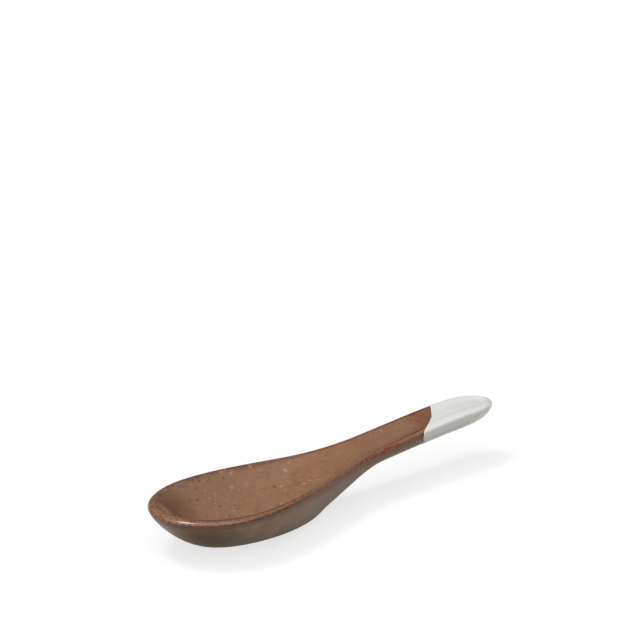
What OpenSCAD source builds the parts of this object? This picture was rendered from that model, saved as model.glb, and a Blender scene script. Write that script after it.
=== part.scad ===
// Coffee spoon: one fired stoneware body, dipped in two glazes.
// The toe of the bowl points to -X and the handle to +X. The bare foot stands on z = 0.

/* [Overall] */
// Length from the toe of the bowl to the end of the handle
spoon_l = 130; // [115:1:150]

/* [Bowl] */
// Width of the bowl at its widest
bowl_w = 36.8; // [30:0.1:42]
// Distance from the toe to the widest part of the bowl
bowl_widest = 22.2; // [19:0.1:28]
// Height of the rim above the table
rim_h = 14.4; // [12:0.1:17]
// Thickness of the floor under the dish
floor_t = 6; // [4:0.25:7]
// Width of the rounded lip at the toe, from its crest to its outer edge
lip_w = 2.1; // [1.2:0.1:3]
// How far the outer edge of the lip lies below its crest at the toe
lip_drop = 1.3; // [0.9:0.1:2]

/* [Handle] */
// Distance from the toe to the end of the neck, where the handle runs straight
neck_x = 79; // [73:0.5:85]
// Width of the lip beside the neck, where it is narrowest
neck_lip_w = 0.7; // [0.7:0.1:1.6]
// How far the outer edge of the lip lies below its crest beside the neck
neck_lip_drop = 0.7; // [0.7:0.1:1.2]
// Width of the handle
handle_w = 13.5; // [12:0.1:17]
// Thickness of the handle
handle_t = 6.8; // [5:0.1:8]
// Slope of the handle, in degrees
handle_rise = 4.3; // [0:0.1:7]
// How far the tip of the handle bends down
tip_drop = 1.9; // [0:0.1:2.5]
// Width of the lip along the handle
handle_lip_w = 2; // [1.2:0.1:3]
// How far the outer edge of the lip lies below its crest along the handle
handle_lip_drop = 1.1; // [0.8:0.1:1.8]
// Depth of the channel along the top of the handle
channel_d = 0.5; // [0.2:0.1:1.2]
// Length of the rounded end of the handle
end_l = 11.8; // [8:0.1:14]

/* [Foot] */
// Length of the bare oval foot under the bowl
foot_l = 37; // [28:0.5:42]
// Width of the foot
foot_w = 12; // [9:0.1:16]
// Height of the foot's bare edge below the glaze
foot_edge = 0.5; // [0.3:0.1:1]

/* [Glaze] */
// Thickness of the brown glaze
brown_t = 0.4; // [0.25:0.05:0.6]
// Thickness of the white glaze, which stands proud of the brown
white_t = 0.6; // [0.45:0.05:0.8]
// Length of the handle dipped in white, along its middle
dip_l = 24.5; // [18:0.5:30]
// How far the dip line slants along the handle from one edge to the other
dip_slant = 15.9; // [0:0.1:18]
// How far the dip line bows toward the end in the middle of the handle
dip_bow = 2.4; // [0:0.1:3.5]

/* [Hidden] */

// Mesh: columns run out from the middle of the top, over the lip and in under the foot.
pairs = 45;
columns = 2 * pairs;
dish_steps = 8;
lip_steps = 4;
wall_steps = 9;
rings = dish_steps + lip_steps + wall_steps;
nudge = 0.02;

// Shape of the curves, as exponents: the bowl's and the handle's, or the toe's, the neck's and the handle's
toe_power = 2.04;
end_power = 2.06;
dish_floor_power = 2.4;
dish_lip_powers = [1.4, 1.1];
lip_powers = [2, 3];
wall_lip_powers = [0.76, 0.59];
wall_foot_powers = [1.68, 1.95, 1.77];

// The brown glaze finishes the spoon's own form, and the white glaze lengthens it by what stands proud.
white_stand = white_t - brown_t;
form_l = spoon_l - white_stand;

// Places along the spoon
rise_start = neck_x - 26.7;
rise_run = 13.5;
droop_start = form_l - 30;
foot_rear = neck_x - 22.1;
foot_mid = foot_rear - foot_l / 2;
foot_column_x = foot_rear + 0.6;
heel_start = foot_rear - 3.5;
under_last_x = form_l - 0.75 * end_l;
dish_start = bowl_widest - 2;
dish_end = form_l - 6;
dish_span = dish_end - dish_start;
ramp_start = bowl_widest + 7;
dip_x = spoon_l - dip_l;

function mix(a, b, t) = a + (b - a) * t;
function smooth(t) = let (u = min(1, max(0, t))) u * u * (3 - 2 * u);

// Share of the way from the form of the bowl, 0, to that of the handle, 1
function handle_share(x) = smooth((x - foot_rear) / (neck_x - foot_rear));
function power_at(powers, x) = mix(powers[0], powers[1], handle_share(x));

// A value at the toe, at the neck and along the handle; so the lip narrows to the neck and widens again.
function blend(values, x) =
    x < foot_rear ? mix(values[0], values[1], smooth(x / foot_rear)) :
    mix(values[1], values[2], smooth((x - foot_rear) / (droop_start - foot_rear)));
function lip_across(x) = blend([lip_w, neck_lip_w, handle_lip_w], x);
function lip_fall(x) = blend([lip_drop, neck_lip_drop, handle_lip_drop], x);

// Heights along the spoon: the rim, the dish below it and the underside of the handle
function rim_z(x) =
    let (
        run = max(0, x - rise_start),
        climb = run < rise_run ? run * run / (2 * rise_run) : run - rise_run / 2,
        droop = max(0, (x - droop_start) / (form_l - droop_start))
    )
    rim_h + climb * tan(handle_rise) - tip_drop * droop * droop;
function dish_depth(x) =
    mix(rim_h - floor_t, channel_d, smooth((x - ramp_start) / (neck_x - ramp_start)));
function under_z(x) =
    foot_edge + (rim_z(x) - handle_t - foot_edge) * smooth((x - heel_start) / (neck_x - heel_start));

// Plan outline: half the width at x, and the direction that faces outward there
function half_width(x) =
    let (
        toe = pow(1 - pow(1 - min(1, x / bowl_widest), toe_power), 1 / toe_power),
        neck = smooth((x - bowl_widest) / (neck_x - bowl_widest)),
        end = max(0, (x - form_l + end_l) / end_l)
    )
    mix(bowl_w / 2 * toe, handle_w / 2, neck) * pow(1 - pow(min(1, end), end_power), 1 / end_power);
function outward(x, side) =
    x <= nudge ? [-1, 0] :
    x >= form_l - nudge ? [1, 0] :
    let (
        slope = (half_width(x + nudge) - half_width(x - nudge)) / (2 * nudge),
        length = sqrt(1 + slope * slope)
    )
    [-slope, side] / length;

// Columns come in pairs, one on each side, that meet on the middle line.
function pair(j) = min(j, columns - j);
function side(j) = j <= pairs ? 1 : -1;

// Turn from the toe, 0, to the end, 180, with one pair exactly on the dip line
dip_turn = acos(1 - 2 * (dip_x - dish_start) / dish_span);
dip_pair = round(pairs * dip_turn / 180);
function turn(k) =
    k <= dip_pair ? dip_turn * k / dip_pair :
    mix(dip_turn, 180, (k - dip_pair) / (pairs - dip_pair));
function along(k, length) = length * (1 - cos(turn(k))) / 2;

// The dip line slants and bows: across runs from -1 at the near edge to 1 at the far edge.
dip_station = along(dip_pair, form_l);
dip_reach = form_l - dip_station;
function dip_line(across) = dip_x + dip_slant / 2 * across - dip_bow * across * across;

// Columns near the dip line shift with it; inset is how far in from the outline the point lies.
function station(j, inset) =
    let (
        x = along(pair(j), form_l),
        from_dip = (x - dip_station) / (x < dip_station ? 2 * dip_reach : dip_reach),
        pull = pow(cos(90 * min(1, abs(from_dip))), 2),
        across = side(j) * (1 - 2 * inset / handle_w)
    )
    x + pull * (dip_line(across) - dip_station);
function lip_plan(j, inset) =
    let (x = station(j, inset))
    [x, side(j) * half_width(x)] - inset * outward(x, side(j));

// The underside closes round the foot beneath the bowl and along the middle beneath the handle.
foot_pair = round(pairs * acos(1 - 2 * foot_column_x / form_l) / 180);
middle_rate = (under_last_x - foot_rear) / (form_l - foot_column_x);
function under_x(x) = foot_rear + middle_rate * (x - foot_column_x);
function under_end(j) =
    let (
        k = pair(j),
        foot_turn = 180 * min(1, k / foot_pair),
        x = under_x(along(k, form_l))
    )
    k > foot_pair ? [x, 0, under_z(x)] :
    [foot_mid - foot_l / 2 * cos(foot_turn), side(j) * foot_w / 2 * sin(foot_turn), foot_edge];

// Points of the finished surface, each with the direction that faces out of it. On the wall, home is the
// place on the outline whose section the point belongs to: the dip line's shift leaves the form alone.
function dish_point(j, share) =
    let (
        middle = [dish_start + along(pair(j), dish_span), 0],
        p = mix(middle, lip_plan(j, lip_across(station(j, 0))), share),
        floor_share = 1 - pow(share, dish_floor_power),
        sink = dish_depth(p.x) * pow(floor_share, power_at(dish_lip_powers, p.x))
    )
    [[p.x, p.y, rim_z(p.x) - sink], [0, 0, 1]];
function lip_point(j, lift) =
    let (
        edge_x = station(j, 0),
        roundness = 2 / power_at(lip_powers, edge_x),
        inset = lip_across(edge_x) * (1 - pow(cos(lift), roundness)),
        fall = lip_fall(edge_x) * (1 - pow(sin(lift), roundness)),
        p = lip_plan(j, inset),
        face = cos(lift) * outward(station(j, inset), side(j))
    )
    [[p.x, p.y, rim_z(p.x) - fall], [face.x, face.y, sin(lift)]];
function wall_point(j, share) =
    let (
        edge = lip_plan(j, 0),
        end = under_end(j),
        x = mix(end.x, edge.x, share),
        on_foot = pair(j) <= foot_pair,
        home = on_foot ? edge.x : (x - (1 - share) * under_x(0)) / mix(middle_rate, 1, share),
        home_z = on_foot ? end.z : under_z(under_x(home)),
        foot_share = 1 - pow(share, blend(wall_foot_powers, home)),
        height = 1 - pow(foot_share, power_at(wall_lip_powers, home)),
        y = mix(end.y, side(j) * half_width(home), share),
        z = mix(home_z, rim_z(home) - lip_fall(home), height),
        dive = 90 * (1 - share),
        face = cos(dive) * outward(home, side(j))
    )
    [[x, y, z], [face.x, face.y, -sin(dive)]];
function skin_point(r, j) =
    r < dish_steps ? dish_point(j, sin(90 * r / dish_steps)) :
    r <= dish_steps + lip_steps ? lip_point(j, 90 * (1 - (r - dish_steps) / lip_steps)) :
    wall_point(j, cos(90 * (r - dish_steps - lip_steps) / wall_steps));

// Vertices ring by ring, at a height above the finished form
function ring_points(height) = [
    for (r = [0 : rings], j = [0 : columns - 1])
        let (p = skin_point(r, j)) p[0] + height * p[1]
];
clay_points = ring_points(-brown_t);

// Faces between the rings; a pair shares one vertex on the middle line.
function shared(r, j) = r == 0 || (r == rings && pair(j) >= foot_pair);
function id(r, j) = let (c = (j + columns) % columns) r * columns + (shared(r, c) ? pair(c) : c);
function skin(first, last, base, flip) = [
    for (r = [0 : rings - 1], j = [first : last - 1])
        let (
            a = base + id(r, j),
            b = base + id(r, j + 1),
            c = base + id(r + 1, j + 1),
            d = base + id(r + 1, j)
        )
        each (flip ? [[a, b, c], [a, c, d]] : [[c, b, a], [d, c, a]])
];
function band(loop, shift) = [
    for (i = [0 : len(loop) - 2])
        let (a = loop[i], b = loop[i + 1])
        each [[a, b, b + shift], [a, b + shift, a + shift]]
];
function reverse(list) = [for (i = [len(list) - 1 : -1 : 0]) list[i]];
function foot_loop() = [for (j = [-foot_pair : foot_pair]) id(rings, j)];
function dip_loop() = concat(
    [for (r = [0 : rings]) id(r, dip_pair)],
    [for (r = [rings - 1 : -1 : 0]) id(r, -dip_pair)]
);

// The fired body, shaped in one piece, with its bare foot
module clay_body() {
    loop = foot_loop();
    foot = [for (i = [0 : len(loop) - 2]) [clay_points[loop[i]].x, clay_points[loop[i]].y, 0]];
    base = len(clay_points);
    count = len(foot);
    foot_side = [
        for (i = [0 : count - 1])
            let (a = loop[i], b = loop[i + 1], c = base + (i + 1) % count, d = base + i)
            each [[c, b, a], [d, c, a]]
    ];
    color("tan")
        translate([-spoon_l / 2, 0, 0])
            polyhedron(
                concat(clay_points, foot),
                concat(skin(0, columns, 0, false), foot_side, [[for (i = [count - 1 : -1 : 0]) base + i]])
            );
}

// A coat of glaze over the columns first to last, between the clay and a height above the form
module coat(first, last, loops, height) {
    shift = len(clay_points);
    edges = [for (loop = loops) each band(loop, shift)];
    translate([-spoon_l / 2, 0, 0])
        polyhedron(
            concat(ring_points(height), clay_points),
            concat(skin(first, last, 0, false), skin(first, last, shift, true), edges)
        );
}

// Brown glaze over the bowl and the handle, open at the foot and ending at the dip line
module brown_glaze() {
    color("sienna")
        coat(-dip_pair, dip_pair, [dip_loop(), reverse(foot_loop())], 0);
}

// White glaze over the end of the handle
module white_glaze() {
    color("ivory")
        coat(dip_pair, columns - dip_pair, [reverse(dip_loop())], white_stand);
}

clay_body();
brown_glaze();
white_glaze();
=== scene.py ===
from math import atan2, cos, pi, radians, sin

import bmesh
import bpy
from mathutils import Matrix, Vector, kdtree


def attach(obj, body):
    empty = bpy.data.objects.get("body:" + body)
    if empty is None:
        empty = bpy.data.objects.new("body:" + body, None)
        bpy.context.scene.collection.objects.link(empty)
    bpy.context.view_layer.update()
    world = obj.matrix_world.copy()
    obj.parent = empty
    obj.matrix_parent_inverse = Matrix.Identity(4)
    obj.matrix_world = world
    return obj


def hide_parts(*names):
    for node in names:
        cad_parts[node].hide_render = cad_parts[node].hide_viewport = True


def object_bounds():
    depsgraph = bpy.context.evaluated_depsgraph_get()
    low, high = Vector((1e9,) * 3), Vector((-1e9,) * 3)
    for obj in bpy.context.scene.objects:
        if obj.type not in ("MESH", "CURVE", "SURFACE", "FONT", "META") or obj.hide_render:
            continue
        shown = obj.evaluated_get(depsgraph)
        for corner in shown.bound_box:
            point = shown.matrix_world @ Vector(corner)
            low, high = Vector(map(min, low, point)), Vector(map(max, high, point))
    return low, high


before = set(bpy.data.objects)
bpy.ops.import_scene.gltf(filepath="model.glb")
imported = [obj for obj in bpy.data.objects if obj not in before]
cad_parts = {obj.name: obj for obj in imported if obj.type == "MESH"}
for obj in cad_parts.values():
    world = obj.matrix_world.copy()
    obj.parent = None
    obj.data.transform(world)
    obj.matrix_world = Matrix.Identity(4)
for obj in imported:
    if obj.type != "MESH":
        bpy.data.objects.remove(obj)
cad_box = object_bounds()


# Fired body
# The spoon is pressed in one piece from a buff stoneware clay with iron grit in it, and fired.
# Glaze covers all of it but the oval foot, which is wiped bare and rubbed smooth along its edge.
class Shade:
    """A socket of a material: arithmetic adds Math nodes, and node() adds any other node."""

    def __init__(self, tree, socket=None):
        self.tree = tree
        self.socket = socket

    def node(self, kind, settings=None, inputs=None, output=0):
        """Adds a node with its settings, values and links, and gives one of its outputs."""
        made = self.tree.nodes.new(kind)
        for name, value in (settings or {}).items():
            setattr(made, name, value)
        for name, value in (inputs or {}).items():
            same = next((s for s in made.inputs if s.identifier == name), None)
            target = same or made.inputs[name]
            if isinstance(value, Shade):
                self.tree.links.new(value.socket, target)
            else:
                target.default_value = value
        same = next((s for s in made.outputs if s.identifier == output), None)
        return Shade(self.tree, same or made.outputs[output])

    def beside(self, output):
        """Another output of the node that this socket is on."""
        return Shade(self.tree, self.socket.node.outputs[output])

    def math(self, operation, first, second):
        inputs = {"Value": first, "Value_001": second}
        return self.node("ShaderNodeMath", {"operation": operation}, inputs)

    def __add__(self, other):
        return self.math("ADD", self, other)

    def __sub__(self, other):
        return self.math("SUBTRACT", self, other)

    def __rsub__(self, other):
        return self.math("SUBTRACT", other, self)

    def __mul__(self, other):
        return self.math("MULTIPLY", self, other)

    __radd__ = __add__
    __rmul__ = __mul__

    def vector(self, operation, *values, output=0):
        """Vector maths on sockets and plain vectors."""
        inputs = dict(zip(("Vector", "Vector_001", "Vector_002"), values))
        return self.node("ShaderNodeVectorMath", {"operation": operation}, inputs, output)

    def step(self, low, high):
        """0 below low, 1 above high and a smooth rise between; if high is less, a smooth fall."""
        settings = {"interpolation_type": "SMOOTHSTEP"}
        inputs = {"Value": self, "From Min": low, "From Max": high}
        return self.node("ShaderNodeMapRange", settings, inputs)

    def mix(self, first, second):
        """The first colour where this is 0 and the second where it is 1."""
        colours = {"A_Color": first, "B_Color": second}
        inputs = {name: c if isinstance(c, Shade) else (*c, 1) for name, c in colours.items()}
        inputs["Factor_Float"] = self
        return self.node("ShaderNodeMix", {"data_type": "RGBA"}, inputs, "Result_Color")

    def noise(self, size, detail=2.0):
        """Cloudy noise about 0.5 over these coordinates, with patches of a size."""
        inputs = {"Vector": self, "Scale": 1 / size, "Detail": detail}
        return self.node("ShaderNodeTexNoise", {}, inputs, "Fac")

    def wander(self, size):
        """These coordinates led astray by about half a size, so that outlines turn ragged."""
        waves = 0.6 / size
        sway = 1.2 * size
        noise = self.node("ShaderNodeTexNoise", {}, {"Vector": self, "Scale": waves}, "Color")
        astray = self.vector("ADD", noise, (-0.5,) * 3)
        return self.vector("MULTIPLY_ADD", astray, (sway,) * 3, self)

    def grains(self, spacing, radius, share, seed):
        """Ragged grains strewn over a share of the places: 1 inside a grain, 0 outside."""
        moved = self.vector("ADD", self.wander(radius), (seed,) * 3)
        inputs = {"Vector": moved, "Scale": 1 / spacing}
        distance = self.node("ShaderNodeTexVoronoi", {}, inputs, "Distance")
        cell = {"Color": distance.beside("Color")}
        chance = self.node("ShaderNodeSeparateColor", {}, cell, "Red")
        smallest = 0.4
        size = chance.beside("Green") * (1 - smallest) + smallest
        reach = size * (radius / spacing)
        blur = 0.25 * radius / spacing
        inside = (distance - reach).step(blur, -blur)
        slack = 0.01
        return inside * chance.step(share + slack, share - slack)

    def spot(self, centre, reach, core=0.6):
        """One soft spot with a reach along each axis; it is full over a share of that, its core."""
        away = self.vector("SUBTRACT", self, centre)
        away = self.vector("MULTIPLY", away, tuple(1 / r for r in reach))
        return self.vector("LENGTH", away, output="Value").step(1.0, core)

    def relief(self, height):
        """The normal of a surface raised by a height in metres."""
        inputs = {"Strength": 1.0, "Distance": 1.0, "Height": height}
        return self.node("ShaderNodeBump", {}, inputs)


def new_finish(name):
    """A new material, its shader, and the object's coordinates."""
    material = bpy.data.materials.new(name)
    material.use_nodes = True
    shader = material.node_tree.nodes["Principled BSDF"]
    place = Shade(material.node_tree).node("ShaderNodeTexCoord", output="Object")
    return material, shader, place


def feed(shader, name, shade):
    """Links a shade to one of the shader's sockets."""
    shade.tree.links.new(shade.socket, shader.inputs[name])


def merged_copy(node):
    """The faces of a node with their corners joined and their triangles paired into quads."""
    shell = bmesh.new()
    shell.from_mesh(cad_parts[node].data)
    bmesh.ops.remove_doubles(shell, verts=shell.verts, dist=touching)
    bmesh.ops.join_triangles(
        shell, faces=shell.faces, angle_face_threshold=pi, angle_shape_threshold=pi,
        topology_influence=1.0,
    )
    return shell


def round_off(shell, edges, size):
    """Rounds edges of a shell."""
    bmesh.ops.bevel(
        shell, geom=edges, offset=size, offset_type="OFFSET", affect="EDGES",
        segments=3, profile=0.5, material=-1,
    )


def add_piece(shell, name, node, material, levels):
    """Puts a shell into the scene as the smooth piece that stands for a node."""
    crease = shell.edges.layers.float.new("crease_edge")
    for edge in shell.edges:
        if edge.calc_face_angle(0) > sharp_angle:
            edge[crease] = 1
    for face in shell.faces:
        face.smooth = True
    mesh = bpy.data.meshes.new(name)
    shell.to_mesh(mesh)
    shell.free()
    mesh.materials.append(material)
    piece = bpy.data.objects.new(name, mesh)
    bpy.context.scene.collection.objects.link(piece)
    smooth = piece.modifiers.new("smooth", "SUBSURF")
    smooth.levels = smooth.render_levels = levels
    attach(piece, "root")
    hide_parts(node)


mm = 0.001
touching = 0.001 * mm
sharp_angle = radians(50)
foot_round = 0.2 * mm
foot_level = 0.01 * mm
straight_down = -0.999
clay_tooth = 0.05 * mm
clay_roughness = 0.72
buff = (0.46, 0.33, 0.22)
burnt_buff = (0.36, 0.23, 0.14)
iron = (0.05, 0.03, 0.02)

clay, shader, place = new_finish("bare_clay")
blush = place.noise(9 * mm).step(0.3, 0.7)
grit = place.grains(0.9 * mm, 0.22 * mm, share=0.5, seed=0.0)
feed(shader, "Base Color", (grit * 0.8).mix(blush.mix(buff, burnt_buff), iron))
feed(shader, "Roughness", place.noise(0.6 * mm) * 0.2 + clay_roughness)
feed(shader, "Normal", place.relief(place.noise(0.5 * mm, 4) * clay_tooth))

shell = merged_copy("clay_body")
foot_faces = [
    f for f in shell.faces
    if f.normal.z < straight_down and f.calc_center_median().z < foot_level
]
foot = bmesh.ops.dissolve_faces(shell, faces=foot_faces)["region"]
round_off(shell, foot[0].edges[:], foot_round)
add_piece(shell, "body", "clay_body", clay, levels=1)


# Brown glaze
# All but the foot and the end of the handle is dipped in a satin brown glaze. It thins and breaks
# red over the lip, and grit in the clay burns through it as pale specks and dark pits.
def tree_of(points):
    """The points laid out so that the nearest one to a place is quickly found."""
    tree = kdtree.KDTree(len(points))
    for index, point in enumerate(points):
        tree.insert(point, index)
    tree.balance()
    return tree


def lean_at(vert):
    """How far a coat leans out from level at a corner, in right angles.

    It is under 0 in the dish, goes from 0 to 1 over the lip, and is more than 1 on the wall.
    """
    middle = Vector((min(max(vert.co.x, spine_start), spine_end), 0, 0))
    outward = (vert.co - middle).to_2d()
    if outward.length < spine_reach:
        return 0.0
    at_dip = dip_line.find(vert.co)[2] < touching
    faces = [f for f in vert.link_faces if not (at_dip and abs(f.normal.x) > cut_facing)]
    normal = sum((f.normal * f.calc_area() for f in faces), Vector((0, 0, 0)))
    return atan2(normal.to_2d().dot(outward.normalized()), normal.z) / (pi / 2)


def mm_from(tree):
    """A measure of how far a corner is from the nearest point of a tree, in mm."""
    return lambda vert: tree.find(vert.co)[2] / mm


def tag(shell, name, measure):
    """Writes a measure of every corner into a shell under a name, and gives the measures."""
    measures = [measure(vert) for vert in shell.verts]
    layer = shell.verts.layers.float.new(name)
    for vert, value in zip(shell.verts, measures):
        vert[layer] = value
    return measures


def tagged(place, name):
    """The measure that was written into the shell under a name."""
    return place.node("ShaderNodeAttribute", {"attribute_name": name}, output="Fac")


toe, end = (corner.x for corner in cad_box)
spine_start = toe + 20 * mm
spine_end = end - 10 * mm
spine_reach = 0.01 * mm
cut_facing = 0.5
edge_slack = 0.1
brown_shell = merged_copy("brown_glaze")
white_shell = merged_copy("white_glaze")
brown_corners = tree_of([v.co for v in brown_shell.verts])
dip_line = tree_of([v.co for v in white_shell.verts if brown_corners.find(v.co)[2] < touching])

warm_brown = (0.248, 0.124, 0.067)
grey_brown = (0.262, 0.141, 0.083)
freckle_red = (0.165, 0.066, 0.035)
far_sheen_grey = (0.235, 0.143, 0.090)
toe_shade_brown = (0.140, 0.066, 0.034)
toe_sheen_grey = (0.360, 0.225, 0.160)
dip_red = (0.188, 0.069, 0.034)
rim_red = (0.120, 0.042, 0.028)
lip_pink = (0.225, 0.104, 0.060)
lip_red = (0.150, 0.065, 0.042)
lip_tan = (0.310, 0.170, 0.088)
crest_red = (0.112, 0.043, 0.027)
painted_light_neck_pink = (0.330, 0.172, 0.108)
skirt_red = (0.190, 0.035, 0.010)
toe_gold = (0.255, 0.140, 0.070)
wall_brown = (0.290, 0.180, 0.113)
wall_olive = (0.266, 0.195, 0.124)
wall_pale_and_sheen = (0.375, 0.262, 0.183)
painted_wall_shade = (0.085, 0.045, 0.020)
neck_rust = (0.260, 0.120, 0.064)
speck_tan = (0.44, 0.30, 0.18)
pit_brown = (0.060, 0.026, 0.016)
pale_mark_size = (0.95 * mm,) * 3
pale_marks = (
    (-29.9, 14.9, 13.9), (-27.5, 13.8, 13.3), (-20.9, 12.9, 13.9), (-29.6, 11.0, 10.4),
    (-25.1, 10.1, 10.3), (-38.4, 9.1, 8.7), (-12.1, 7.8, 11.8), (22.6, 3.5, 16.3),
)
dark_mark_size = (0.7 * mm,) * 3
dark_marks = (
    (-47.6, 15.5, 14.2), (-38.4, 15.1, 13.4), (-30.6, 13.6, 12.6), (-42.7, 10.6, 10.1),
    (-38.4, 9.1, 8.7), (-37.4, 7.3, 7.7), (-18.3, 5.3, 9.0), (37.3, 4.4, 17.6),
)
ripple_height = 0.06 * mm
dimple_height = 0.008 * mm
speck_height = 0.02 * mm
pit_depth = 0.05 * mm
satin_roughness = 0.16
satin_specular = 0.08
satin_gloss = 0.4
gloss_roughness = 0.13

brown, shader, place = new_finish("satin_brown")
lean = tagged(place, "lean")
from_edge = tagged(place, "from_edge")
from_dip = tagged(place, "from_dip")
along = place.node("ShaderNodeSeparateXYZ", {}, {"Vector": place}, "X")
across = along.beside("Y")
cloud = place.noise(9 * mm, 4)
mottle = place.noise(0.8 * mm, 3)
ragged = lean + (mottle - 0.5) * 0.3
far_side = across.step(2 * mm, 6 * mm)
toe_half = along.step(toe + 40 * mm, toe + 28 * mm)
round_bowl = along.step(toe + 60 * mm, toe + 44 * mm)
neck = along.step(toe + 32 * mm, toe + 48 * mm) * along.step(toe + 108 * mm, toe + 88 * mm)
waist = neck * along.step(toe + 96 * mm, toe + 78 * mm)
toe_end = place.spot((toe + 4 * mm, 7 * mm, 14 * mm), (20 * mm, 17 * mm, 17 * mm))

# In the dish it is cloudy, with painted shade behind the toe, and turns red before the white glaze.
colour = cloud.step(0.3, 0.7).mix(warm_brown, grey_brown)
colour = (mottle.step(0.52, 0.72) * 0.25).mix(colour, freckle_red)
colour = (mottle.step(0.45, 0.28) * 0.12).mix(colour, speck_tan)
blotches = place.noise(3.5 * mm, 4).step(0.54, 0.68)
colour = (blotches * 0.3).mix(colour, freckle_red)
# Painted reflection: a grey sheen on the far slope of the dish.
painted_far_sheen = place.spot((toe + 23 * mm, 13 * mm, 12 * mm), (20 * mm, 11 * mm, 9 * mm), 0.3)
colour = (painted_far_sheen * 0.8).mix(colour, far_sheen_grey)
# Painted shade: the steep wall of the dish behind the toe is darkened.
painted_toe_shade = place.spot((toe + 11 * mm, 8 * mm, 12 * mm), (11 * mm, 11 * mm, 9 * mm), 0.1)
colour = (painted_toe_shade * 0.7).mix(colour, toe_shade_brown)
# Painted reflection: a pale grey sheen just inside the lip at the toe.
painted_toe_sheen = place.spot((toe + 5.8 * mm, 4 * mm, 12.6 * mm), (3.4 * mm, 9 * mm, 2.6 * mm), 0.3)
colour = (painted_toe_sheen * 0.85).mix(colour, toe_sheen_grey)
reddened = (from_dip - across * (0.6 / mm) + place.noise(2 * mm, 3) * 4).step(7.2, 5.2)
colour = (reddened * (mottle * 0.8 + 0.3)).mix(colour, dip_red)

# On the lip it is thin, so the clay's red and tan come through in dots and lines; on the neck it is
# painted lighter.
inner_lip = (from_edge + mottle * 1.2).step(3.7, 2.6) * round_bowl * (1 - toe_end * 0.8)
colour = (inner_lip * 0.5).mix(colour, lip_red)
rim_blotches = place.noise(2.2 * mm, 3).step(0.52, 0.64) * from_edge.step(5.5, 2.5)
colour = (rim_blotches * far_side * toe_half * 0.5).mix(colour, rim_red)
rim_line = (from_edge + mottle * 0.6).step(2.6, 1.9) * far_side
colour = (rim_line * 0.5).mix(colour, rim_red)
lip_colour = ragged.step(0.45, 0.62).mix(lip_pink, lip_red)
lip_colour = (mottle.step(0.54, 0.64) * (0.8 - neck * 0.3)).mix(lip_colour, lip_tan)
lip_colour = (mottle.step(0.46, 0.36) * 0.8).mix(lip_colour, crest_red)
lip_colour = (ragged.step(0.68, 0.85) * 0.7).mix(lip_colour, crest_red)
# Painted light: the lip on the neck is lightened where it leans away from the light.
lip_colour = (ragged.step(0.0, 0.6) * neck * 0.9).mix(lip_colour, painted_light_neck_pink)
lip_colour = (ragged.step(0.22, 0.08) * (1 - waist * 0.8)).mix(lip_colour, crest_red)
lip_colour = (ragged.step(0.84, 0.96) * (neck - waist) * 0.6).mix(lip_colour, crest_red)
lip_dots = place.noise(0.9 * mm).step(0.44, 0.54) * 0.8 + 0.2
skirt = (ragged - 1 + from_edge * 0.5).step(-0.45, -0.05) * waist
lip_colour = (lip_dots * skirt * 0.75).mix(lip_colour, skirt_red)
lip_colour = (toe_end * mottle.step(0.40, 0.50) * 0.85).mix(lip_colour, toe_gold)
lip = ragged.step(-0.05, 0.04) * from_edge.step(4.6, 3.4)
colour = (lip * 0.9).mix(colour, lip_colour)

# On the outside wall it is greyer and patchy, with a painted reflection, and painted shade under
# the lip and toe.
below_edge = from_edge - waist + (mottle - 0.5) * 0.6
wall = ragged.step(0.98, 1.06) * below_edge.step(-0.15, 0.15)
wall_colour = place.noise(13 * mm).step(0.4, 0.6).mix(wall_brown, wall_olive)
wall_patches = place.noise(5 * mm, 3).step(0.45, 0.60)
wall_colour = (wall_patches * 0.65).mix(wall_colour, wall_pale_and_sheen)
# Painted reflection: a pale patch on the bowl's near wall, where it mirrors the floor.
painted_wall_reflection = place.spot((toe + 40 * mm, -17 * mm, 9 * mm), (24 * mm, 9 * mm, 7 * mm), 0.1)
wall_colour = (painted_wall_reflection * 0.5).mix(wall_colour, wall_pale_and_sheen)
wall_colour = (waist * from_edge.step(1.2, 3.5) * 0.5).mix(wall_colour, wall_pale_and_sheen)
wall_colour = (waist * from_edge.step(3.5, 1.5) * 0.7).mix(wall_colour, neck_rust)
# Painted shade: a dark band on the wall just below the lip.
wall_colour = (from_edge.step(2.4, 0.4) * (0.5 - waist * 0.3)).mix(wall_colour, painted_wall_shade)
# Painted shade: the wall around the toe is darkened, as by its own shadow on the floor.
painted_toe_wall_shade = place.spot((toe + 9 * mm, -9 * mm, 8 * mm), (16 * mm, 12 * mm, 10 * mm), 0.1)
wall_colour = (painted_toe_wall_shade * 0.8).mix(wall_colour, painted_wall_shade)
colour = (wall * 0.95).mix(colour, wall_colour)

# Specks crowd in the bowl; a few large marks stand where the grit is coarse.
inside = 1 - wall
in_bowl = place.spot((toe + 45 * mm, 6 * mm, 11 * mm), (34 * mm, 20 * mm, 12 * mm), 0.4)
cluster = place.noise(8 * mm).step(0.35, 0.52) * (in_bowl * 0.8 + 0.2)
specks = place.grains(2.2 * mm, 0.60 * mm, share=0.7, seed=0.11) * cluster
fine_specks = place.grains(1.1 * mm, 0.26 * mm, share=0.7, seed=0.37)
pits = place.grains(2.6 * mm, 0.40 * mm, share=0.45, seed=0.73)
fine_pits = place.grains(1.4 * mm, 0.24 * mm, share=0.5, seed=0.91)
colour = (specks * inside * 0.29).mix(colour, speck_tan)
colour = (fine_specks * inside * 0.32).mix(colour, speck_tan)
stray = place.wander(1.0 * mm)
for at in pale_marks:
    mark = stray.spot(tuple(v * mm for v in at), pale_mark_size, 0.3) * mottle.step(0.36, 0.48)
    colour = (mark * 0.45).mix(colour, speck_tan)
for at in dark_marks:
    mark = stray.spot(tuple(v * mm for v in at), dark_mark_size, 0.3)
    colour = (mark * 0.6).mix(colour, pit_brown)
colour = (pits * inside * 0.42).mix(colour, pit_brown)
colour = (fine_pits * (lip * 0.2 + inside * 0.25 + 0.15)).mix(colour, pit_brown)

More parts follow.
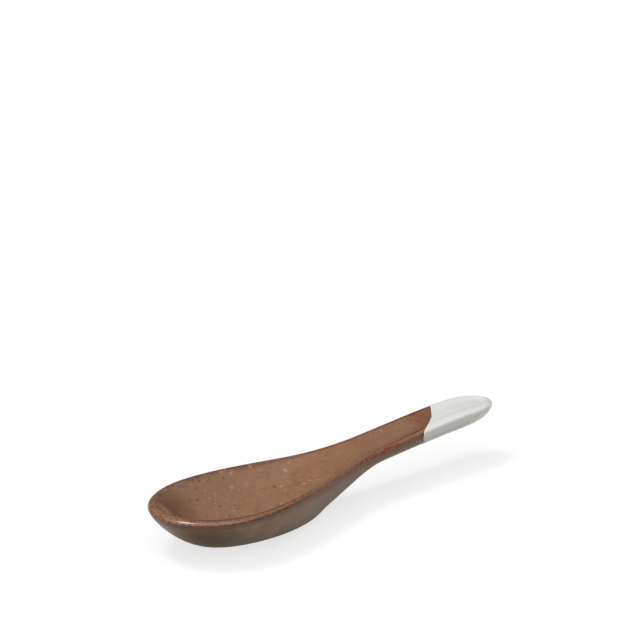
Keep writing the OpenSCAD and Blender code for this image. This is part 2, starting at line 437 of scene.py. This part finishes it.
feed(shader, "Base Color", colour)
roughness = cloud * 0.08 + wall * 0.14 + specks * inside * 0.15 + satin_roughness
feed(shader, "Roughness", roughness)
lip_gloss = ragged.step(0.15, 0.3) * lip * 0.55
feed(shader, "Coat Weight", ragged.step(0.9, 0.6) * (lip_gloss + satin_gloss))
shader.inputs["Specular IOR Level"].default_value = satin_specular
shader.inputs["Coat Roughness"].default_value = gloss_roughness
ripple = place.noise(7 * mm) * ripple_height + place.noise(1.6 * mm) * inside * dimple_height
grit_relief = specks * inside * speck_height - pits * inside * pit_depth
feed(shader, "Normal", place.relief(ripple + grit_relief))

leans = tag(brown_shell, "lean", lean_at)
lip_edge = tree_of([
    v.co for v, value in zip(brown_shell.verts, leans) if abs(value - 1) < edge_slack
])
tag(brown_shell, "from_edge", mm_from(lip_edge))
tag(brown_shell, "from_dip", mm_from(dip_line))
add_piece(brown_shell, "brown_coat", "brown_glaze", brown, levels=2)


# White glaze
# The end of the handle is dipped by hand, at a slant, in a thicker white glaze. Its edge stands a
# little proud of the brown in a rounded roll, and a few pinholes are left in it.
roll_round = 0.18 * mm
milk = (0.71, 0.71, 0.685)
painted_light_channel_milk = (0.78, 0.78, 0.755)
painted_light_lip_milk = (0.84, 0.82, 0.78)
painted_light_far_milk = (0.84, 0.84, 0.82)
painted_shade_side_milk = (0.70, 0.685, 0.615)
painted_light_under_milk = (0.80, 0.785, 0.72)
cream = (0.76, 0.68, 0.57)
pinhole_grey = (0.25, 0.23, 0.20)
pin_mark_size = (0.55 * mm,) * 3
pin_marks = ((48.1, -6.9, 17.4), (52.2, -6.8, 16.0), (53.6, -6.7, 16.0), (61.2, -4.2, 18.0))
swell_height = 0.08 * mm
grain_height = 0.05 * mm
pinhole_depth = 0.05 * mm
milk_roughness = 0.17

white, shader, place = new_finish("milk_white")
lean = tagged(place, "lean")
from_dip = tagged(place, "from_dip")
across = place.node("ShaderNodeSeparateXYZ", {}, {"Vector": place}, "Y")
drift = place.noise(4 * mm)
# Painted light: the white is lightened in the channel, on the far edge and on the near lip.
colour = (lean.step(0.04, -0.06) * across.step(1 * mm, -2 * mm)).mix(milk, painted_light_channel_milk)
colour = (lean.step(-0.05, 0.1) * across.step(2 * mm, 4 * mm)).mix(colour, painted_light_far_milk)
colour = (lean.step(0.35, 0.55) * across.step(0, -2 * mm)).mix(colour, painted_light_lip_milk)
# Painted shade high on the side, and painted light low on it.
colour = lean.step(0.82, 0.98).mix(colour, painted_shade_side_milk)
colour = lean.step(1.1, 1.3).mix(colour, painted_light_under_milk)
colour = ((from_dip + drift * 0.6).step(1.5, 0.5) * 0.6).mix(colour, cream)
pinholes = place.grains(2.4 * mm, 0.26 * mm, share=0.4, seed=0.19)
pinholes = pinholes * (lean.step(0.1, 0.4) * 0.8 + 0.2)
colour = (pinholes * 0.6).mix(colour, pinhole_grey)
stray = place.wander(0.6 * mm)
for at in pin_marks:
    mark = stray.spot(tuple(v * mm for v in at), pin_mark_size, 0.2)
    colour = (mark * 0.5).mix(colour, pinhole_grey)
feed(shader, "Base Color", colour)
feed(shader, "Roughness", drift * 0.1 + milk_roughness)
on_lip = lean.step(0.05, 0.25) * lean.step(0.95, 0.75)
grain = place.noise(1.1 * mm, 3) * on_lip * grain_height
swell = place.noise(5 * mm) * swell_height
feed(shader, "Normal", place.relief(swell + grain - pinholes * pinhole_depth))

rim_edges = [
    e for e in white_shell.edges
    if e.calc_face_angle(0) > sharp_angle
    and all(brown_corners.find(v.co)[2] > touching for v in e.verts)
]
round_off(white_shell, rim_edges, roll_round)
tag(white_shell, "lean", lean_at)
tag(white_shell, "from_dip", mm_from(dip_line))
add_piece(white_shell, "white_coat", "white_glaze", white, levels=2)


# Table and light
# The spoon lies on a sheet of pale paper, under one wide soft light high on the left and a small
# lamp behind it.
paper_reach = 3
paper_colour = (1.0, 1.0, 1.0)
paper_bounce = (0.3, 0.3, 0.3)
paper_glow = 0.72
mirrored_glow = 0.1
soft_light = 1.66
soft_light_from = Vector((-0.55, -0.40, 0.74)).normalized()
soft_light_spread = (0.3, 1.0)
horizon = 0.073
lamp_strength = 1.25
lamp_spread = radians(18)
lamp_from = Vector((-0.26, 0.26, 0.93))

sheet = bmesh.new()
bmesh.ops.create_grid(sheet, x_segments=1, y_segments=1, size=paper_reach)
sheet_mesh = bpy.data.meshes.new("table")
sheet.to_mesh(sheet_mesh)
sheet.free()
paper, shader, place = new_finish("paper")
seen = place.node("ShaderNodeLightPath", output="Is Camera Ray")
mirrored = seen.beside("Is Glossy Ray") + seen.beside("Is Transmission Ray")
feed(shader, "Base Color", (seen + mirrored).step(0.0, 1.0).mix(paper_bounce, paper_colour))
shader.inputs["Roughness"].default_value = 1.0
shader.inputs["Specular IOR Level"].default_value = 0.0
lit = Shade(seen.tree, shader.outputs["BSDF"])
glow = seen.node("ShaderNodeEmission", {}, {"Strength": 1.0})
glow_share = seen * paper_glow + mirrored * mirrored_glow
inputs = {"Fac": glow_share, "Shader": lit, "Shader_001": glow}
surface = seen.node("ShaderNodeMixShader", {}, inputs)
feed(paper.node_tree.nodes["Material Output"], "Surface", surface)
sheet_mesh.materials.append(paper)
table = bpy.data.objects.new("table", sheet_mesh)
bpy.context.scene.collection.objects.link(table)

world = bpy.data.worlds.new("studio")
world.use_nodes = True
bpy.context.scene.world = world
sky = Shade(world.node_tree).node("ShaderNodeTexCoord", output="Generated")
facing = sky.vector("DOT_PRODUCT", sky, soft_light_from, output="Value")
background = world.node_tree.nodes["Background"]
background.inputs["Color"].default_value = (1, 1, 1, 1)
feed(background, "Strength", facing.step(*soft_light_spread) * soft_light + horizon)

lamp = bpy.data.lights.new("lamp", "SUN")
lamp.energy = lamp_strength
lamp.angle = lamp_spread
lamp_piece = bpy.data.objects.new("lamp", lamp)
lamp_piece.rotation_euler = (-lamp_from).to_track_quat("-Z", "Y").to_euler()
bpy.context.scene.collection.objects.link(lamp_piece)


# Camera
# A long lens looks down past the toe of the bowl, and the spoon lies low in the frame. It stands
# where the photograph was taken from.
frame_px = 640
centre_px = (334.09, 479.13)
scale_px = 3.466 / mm
camera_turn = radians(43.68)
camera_dip = radians(17.03)
camera_distance = 700 * mm
spoon_centre = Vector((0, 0, 8 * mm))

right = Vector((cos(camera_turn), -sin(camera_turn), 0))
ahead = Vector((
    sin(camera_turn) * cos(camera_dip), cos(camera_turn) * cos(camera_dip), -sin(camera_dip)
))
up = right.cross(ahead)
shift_right = (centre_px[0] - frame_px / 2) / scale_px
shift_up = (frame_px / 2 - centre_px[1]) / scale_px
lens = bpy.data.cameras.new("camera")
lens.lens = scale_px * camera_distance / frame_px * lens.sensor_width
camera = bpy.data.objects.new("camera", lens)
camera.location = spoon_centre - right * shift_right - up * shift_up - ahead * camera_distance
camera.rotation_euler = ahead.to_track_quat("-Z", "Y").to_euler()
bpy.context.scene.collection.objects.link(camera)
bpy.context.scene.camera = camera
bpy.context.scene.view_settings.view_transform = "Standard"
